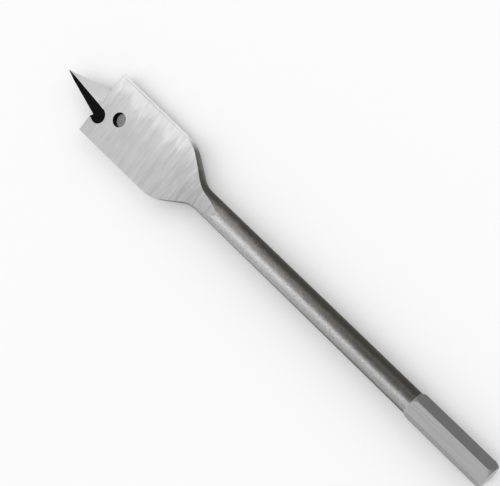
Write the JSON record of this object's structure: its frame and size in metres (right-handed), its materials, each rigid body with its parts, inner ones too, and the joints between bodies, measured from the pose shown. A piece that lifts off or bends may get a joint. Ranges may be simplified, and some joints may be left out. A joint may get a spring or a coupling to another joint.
{
  "type": "spade drill bit",
  "caption": "Flat spade drill bit with a sharp centre point, ground paddle blade with a small through hole, round shank and hexagonal drive end.",
  "frame": {"origin": "centre of the flat drive end, on the axis of the shank", "axes": "+X along the shank from the drive end to the tip of the point; +Z out of one ground face of the blade; +Y across the blade"},
  "size_m": [0.1524, 0.019, 0.0064],
  "materials": {
    "ground_steel": "ground"
  },
  "bodies": {
    "root": {"spade_bit": "ground_steel"}
  },
  "joints": []
}
